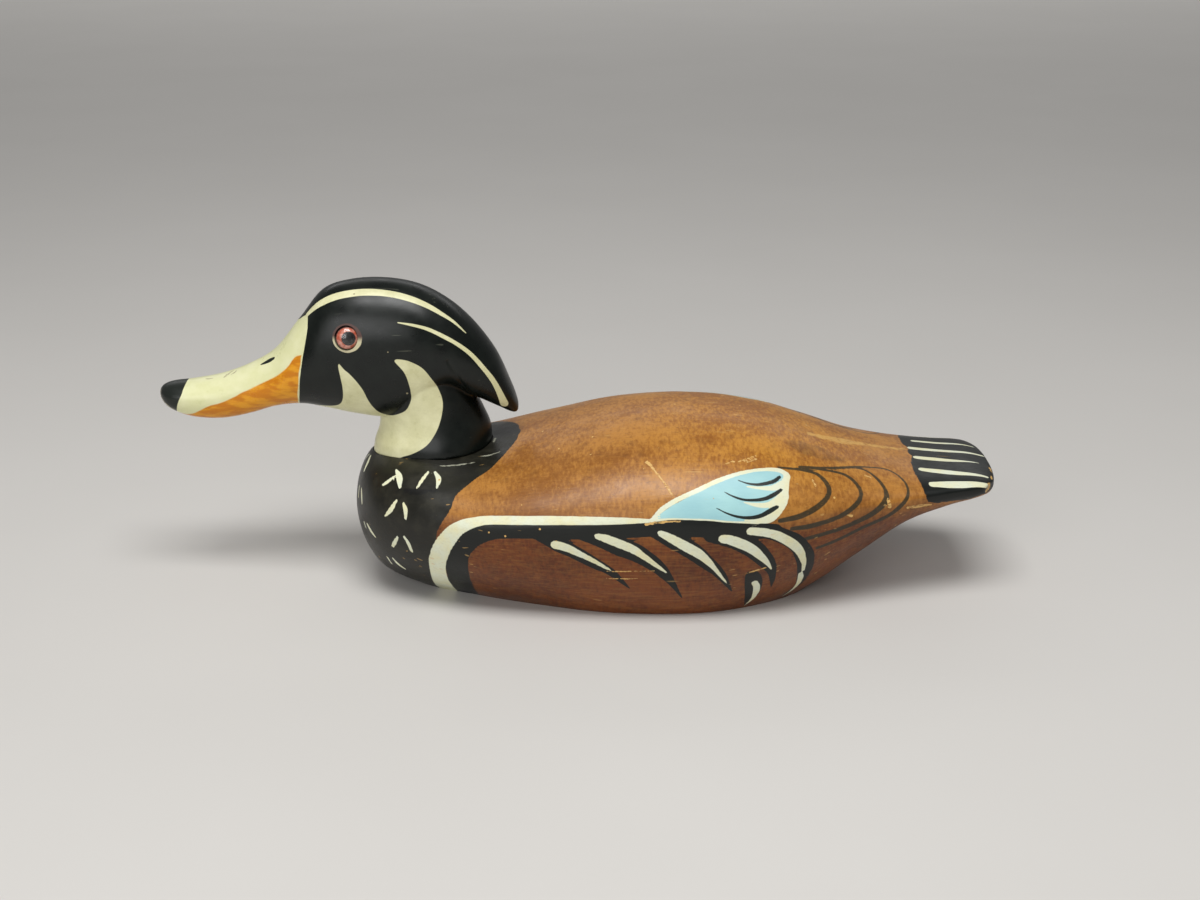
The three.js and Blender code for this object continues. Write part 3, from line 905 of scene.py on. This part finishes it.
def make_body_finish():
    skin = Finish("painted_body")
    grain = skin.group(WOOD_GRAIN, {"Place": skin.spot})
    wear = skin.group(HANDLING_WEAR, {"Place": skin.spot, "Chips": 0.35})
    spot = skin.tree.nodes.new("ShaderNodeSeparateXYZ")
    skin.feed(spot.inputs[0], skin.spot)
    # The stain: brown at the shoulders and golden on the rear of the back.
    tone = skin.add("ShaderNodeMix", {0: 0.45, 2: grain["Clouds"], 3: grain["Mottle"]}, data_type="FLOAT")
    tone = skin.ramp(tone, 0.38, 0.62)
    back = skin.mix(tone, tint(136, 84, 30), tint(176, 120, 52))
    golden = skin.math("MULTIPLY", skin.ramp(spot.outputs[0], 0, 80), skin.ramp(spot.outputs[2], 48, 64))
    back = skin.mix(golden, back, skin.mix(tone, tint(146, 88, 22), tint(194, 134, 48)))
    # Low on the flanks the colour is darker and redder: partly the stain, partly painted shade.
    low_flank_stain_and_shade = skin.mix(tone, tint(84, 37, 7), tint(116, 58, 13))
    height = skin.math("ADD", spot.outputs[2], skin.math("MULTIPLY", grain["Clouds"], 8.0))
    stain = skin.mix(skin.ramp(height, 40, 54), low_flank_stain_and_shade, back)
    fibres = skin.ramp(grain["Fibres"], 0.4, 0.7)
    stain = skin.mix(skin.math("MULTIPLY", fibres, 0.12), stain, tint(204, 150, 74))
    stain = skin.mix(skin.math("MULTIPLY", grain["Pores"], 0.3), stain, tint(66, 32, 8))
    smudge = skin.cover("smudges", 3.0, 6.0, 1.5)
    colour = skin.mix(skin.math("MULTIPLY", smudge, 0.45), stain, tint(70, 40, 16))
    streak = skin.cover("streaks", 1.6, 2.5, 0.5, 0.8)
    colour = skin.mix(skin.math("MULTIPLY", streak, 0.75), colour, tint(216, 170, 88))
    # The paints
    charcoal = skin.mix(skin.ramp(wear["Rubbed"], 0.45, 0.75), tint(24, 23, 16), tint(42, 40, 30))
    colour = skin.mix(skin.cover("collar", 0.2, 6.0), colour, charcoal)
    colour = skin.mix(skin.cover("smears", 1.2, 1.5, 0.3), colour, tint(10, 9, 6))
    colour = skin.mix(skin.math("MULTIPLY", skin.cover("loops", 0.15, 5.0, 0.2, 0.12), 0.92), colour,
                      tint(40, 42, 30))
    black = skin.math("MAXIMUM", skin.cover("black", 0.2, 5.0, 0.1), skin.cover("tail", 0.6, 2.5, 0.15))
    colour = skin.mix(black, colour, PAINT_BLACK)
    blue = skin.mix(skin.ramp(grain["Clouds"], 0.35, 0.65), tint(150, 196, 202), tint(168, 212, 212))
    colour = skin.mix(skin.cover("blue", 0.2), colour, blue)
    cream = skin.mix(skin.ramp(wear["Rubbed"], 0.35, 0.7), PAINT_WHITE, PAINT_CREAM)
    white = skin.cover("white", 0.15, 4.0, 0.12, 0.08)
    colour = skin.mix(white, colour, cream)
    colour = skin.mix(skin.cover("lines", 0.1, 3.0), colour, tint(30, 36, 32))
    # The wear, and a painted highlight among the pale streaks on the collar's shoulder
    # Pale grey streaks on the collar's shoulder: partly scuffs, partly a painted highlight
    scuffs_and_highlight = skin.cover("scuffs_and_highlight", 0.6, 1.5, 0.2, 0.8)
    colour = skin.mix(skin.math("MULTIPLY", scuffs_and_highlight, 0.8), colour, tint(176, 176, 156))
    scratches = skin.cover("scratches", 0.5, 1.2, 0.1, 0.9)
    chipped = skin.math("MAXIMUM", scratches, wear["Chips"])
    colour = skin.mix(skin.math("MULTIPLY", wear["Hairlines"], 0.4), colour, BARE_WOOD)
    colour = skin.mix(chipped, colour, BARE_WOOD)
    sheen = skin.ramp(wear["Rubbed"], 0.3, 0.75, 0.32, 0.46)
    raised = skin.math("SUBTRACT", skin.math("MULTIPLY", fibres, 0.25), chipped)
    return skin.finish(colour, sheen, raised, 0.06, {"Specular IOR Level": 0.4})


def make_head_finish():
    skin = Finish("painted_head")
    wear = skin.group(HANDLING_WEAR, {"Place": skin.spot, "Chips": 0.16})
    spot = skin.tree.nodes.new("ShaderNodeSeparateXYZ")
    skin.feed(spot.inputs[0], skin.spot)
    rubbed = skin.ramp(wear["Rubbed"], 0.35, 0.7)
    colour = skin.mix(rubbed, tint(214, 214, 164), tint(222, 221, 178))
    brush = skin.ramp(skin.noise(skin.stretch(skin.spot, (0.3, 1, 1)), 2.5, 3.0), 0.4, 0.62)
    orange = skin.mix(brush, tint(198, 120, 16), tint(222, 152, 32))
    colour = skin.mix(skin.cover("orange", 0.4, 6.0, 0.3), colour, orange)
    nail = skin.cover("nail", 0.15)
    colour = skin.mix(nail, colour, tint(30, 34, 30))
    specks = skin.group(HANDLING_WEAR, {"Place": skin.stretch(skin.spot, (5, 5, 5)), "Chips": 0.75})
    worn_tip = skin.math("MULTIPLY", skin.ramp(spot.outputs[0], -170, -175), specks["Chips"])
    colour = skin.mix(skin.math("MULTIPLY", worn_tip, nail), colour, tint(190, 180, 140))
    colour = skin.mix(skin.cover("crown", 0.12, 5.0), colour, skin.mix(rubbed, tint(7, 12, 9), tint(15, 20, 16)))
    white = skin.mix(rubbed, tint(206, 203, 158), tint(222, 219, 178))
    colour = skin.mix(skin.cover("white", 0.12, 5.0, 0.12, 0.03), colour, white)
    colour = skin.mix(skin.cover("nostril", 0.1), colour, tint(26, 32, 28))
    # Putty ring round each eye: reddish brown above; its pale lower half is a painted highlight on the socket's
    # edge.
    putty_and_lit_rim = skin.mix(skin.ramp(spot.outputs[2], 108.5, 111.5), tint(196, 188, 154), tint(70, 38, 28))
    colour = skin.mix(skin.cover("putty_and_lit_rim", 0.25, 2.0, 0.1), colour, putty_and_lit_rim)
    scratches = skin.cover("scratches", 0.5, 1.2, 0.1, 0.9)
    chipped = skin.math("MAXIMUM", scratches, wear["Chips"])
    colour = skin.mix(skin.math("MULTIPLY", wear["Hairlines"], 0.2), colour, tint(130, 132, 114))
    colour = skin.mix(skin.math("MULTIPLY", chipped, 0.8), colour, tint(158, 148, 116))
    sheen = skin.ramp(wear["Rubbed"], 0.3, 0.75, 0.26, 0.38)
    raised = skin.math("SUBTRACT", skin.math("MULTIPLY", rubbed, 0.15), chipped)
    return skin.finish(colour, sheen, raised, 0.06, {"Specular IOR Level": 0.35})


def make_glass():
    glass = bpy.data.materials.new("eye_glass")
    glass.use_nodes = True
    shader = glass.node_tree.nodes["Principled BSDF"]
    plain = {"Base Color": (1, 1, 1, 1), "Roughness": 0.02, "IOR": 1.5, "Transmission Weight": 1.0, "Alpha": 0.3}
    for name, value in plain.items():
        shader.inputs[name].default_value = value
    return glass


PUPIL_RADIUS = 2.9
PUPIL_SHIFT = 0.5
IRIS_RADIUS = 4.3
LENS_THICKNESS = 0.3


def make_iris_finish():
    """Pinkish brown round a black pupil, under the clear glass."""
    skin = Finish("painted_iris")
    rings = skin.tree.nodes.new("ShaderNodeSeparateXYZ")
    skin.feed(rings.inputs[0], skin.add("ShaderNodeAttribute", {}, output="Vector", attribute_name="rings"))
    clouds = skin.ramp(skin.noise(skin.spot, 2.2, 3.0, 0.6), 0.4, 0.6)
    iris = skin.mix(clouds, tint(216, 150, 130), tint(190, 86, 58))
    iris = skin.mix(skin.ramp(rings.outputs[0], PUPIL_RADIUS + 0.1, PUPIL_RADIUS - 0.1), iris, tint(8, 6, 6))
    iris = skin.mix(skin.ramp(rings.outputs[1], IRIS_RADIUS - 0.1, IRIS_RADIUS + 0.2), iris, tint(34, 14, 11))
    return skin.finish(iris, 0.4, clouds, 0.01, {"Coat Weight": 1.0, "Coat Roughness": 0.03})


def make_eye(side, name, glass, iris):
    """A painted iris under a clear domed lens."""
    dome = new_piece(eye_form(side, 0.0), f"{name}_glass")
    dome.data.materials.append(glass)
    painted = new_piece(eye_form(side, -LENS_THICKNESS), f"{name}_iris")
    back = np.array(eye_place(side).inverted())
    places = places_of(painted.data) @ back[:3, :3].T + back[:3, 3]
    rings = np.zeros((len(places), 3), np.float32)
    rings[:, 0] = np.hypot(places[:, 0] - PUPIL_SHIFT, places[:, 2])
    rings[:, 1] = np.hypot(places[:, 0], places[:, 2])
    layer = painted.data.attributes.new("rings", "FLOAT_VECTOR", "POINT")
    layer.data.foreach_set("vector", rings.ravel())
    painted.data.materials.append(iris)
    return [dome, painted]


SHARP = math.radians(40)


def place_on_duck(piece, node):
    piece.data.transform(Matrix.Scale(METRES, 4))
    piece.data.shade_smooth()
    piece.data.set_sharp_from_angle(angle=SHARP)
    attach(piece, "root")
    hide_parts(node)


body = make_body()
paint_body(body)
body.data.materials.append(make_body_finish())
place_on_duck(body, "body")

head = make_head()
paint_head(head)
head.data.materials.append(make_head_finish())
place_on_duck(head, "head")

glass = make_glass()
iris = make_iris_finish()
for side, name in ((-1, "eye_left"), (1, "eye_right")):
    for piece in make_eye(side, name, glass, iris):
        place_on_duck(piece, name)

# The floor, lights and camera
AIM = Vector((9.6, 0, 54.9)) * METRES
CAMERA_DISTANCE = 780 * METRES
CAMERA_RISE = math.radians(20)
LENS = 54.5
FLOOR_RADIUS = 6.0


def make_floor():
    form = bmesh.new()
    bmesh.ops.create_circle(form, cap_ends=True, segments=96, radius=FLOOR_RADIUS)
    floor = new_piece(form, "floor")
    board = Finish("pale_floor")
    cloud = board.noise(board.spot, 180, 3.0)
    colour = board.mix(cloud, (0.60, 0.58, 0.55, 1), (0.64, 0.62, 0.59, 1))
    floor.data.materials.append(board.finish(colour, 0.7, cloud, 0.05, {}))


def add_softbox(name, place, size, power, target=AIM):
    light = bpy.data.lights.new(name, "AREA")
    light.shape = "RECTANGLE"
    light.size, light.size_y = size
    light.energy = power
    lamp = bpy.data.objects.new(name, light)
    lamp.location = place
    lamp.rotation_euler = (target - Vector(place)).to_track_quat("-Z", "Y").to_euler()
    bpy.context.scene.collection.objects.link(lamp)


def make_camera():
    camera = bpy.data.cameras.new("camera")
    camera.lens = LENS
    camera.sensor_width = 36.0
    camera.clip_start = 0.01
    viewer = bpy.data.objects.new("camera", camera)
    back = Vector((0, -math.cos(CAMERA_RISE), math.sin(CAMERA_RISE)))
    viewer.location = AIM + back * CAMERA_DISTANCE
    viewer.rotation_euler = (math.pi / 2 - CAMERA_RISE, 0, 0)
    bpy.context.scene.collection.objects.link(viewer)
    bpy.context.scene.camera = viewer


make_floor()
add_softbox("overhead", (0.0, -0.38, 1.15), (0.8, 0.5), 11.5)
add_softbox("front", (-0.5, -1.3, 0.6), (1.0, 0.8), 7.5)
add_softbox("behind", (0.0, 3.2, 1.8), (4.0, 2.0), 30, Vector((0, 3.4, 0)))
make_camera()
world = bpy.data.worlds.new("studio")
world.use_nodes = True
world.node_tree.nodes["Background"].inputs["Color"].default_value = (0.2, 0.2, 0.2, 1)
bpy.context.scene.world = world
bpy.context.scene.view_settings.view_transform = "Standard"
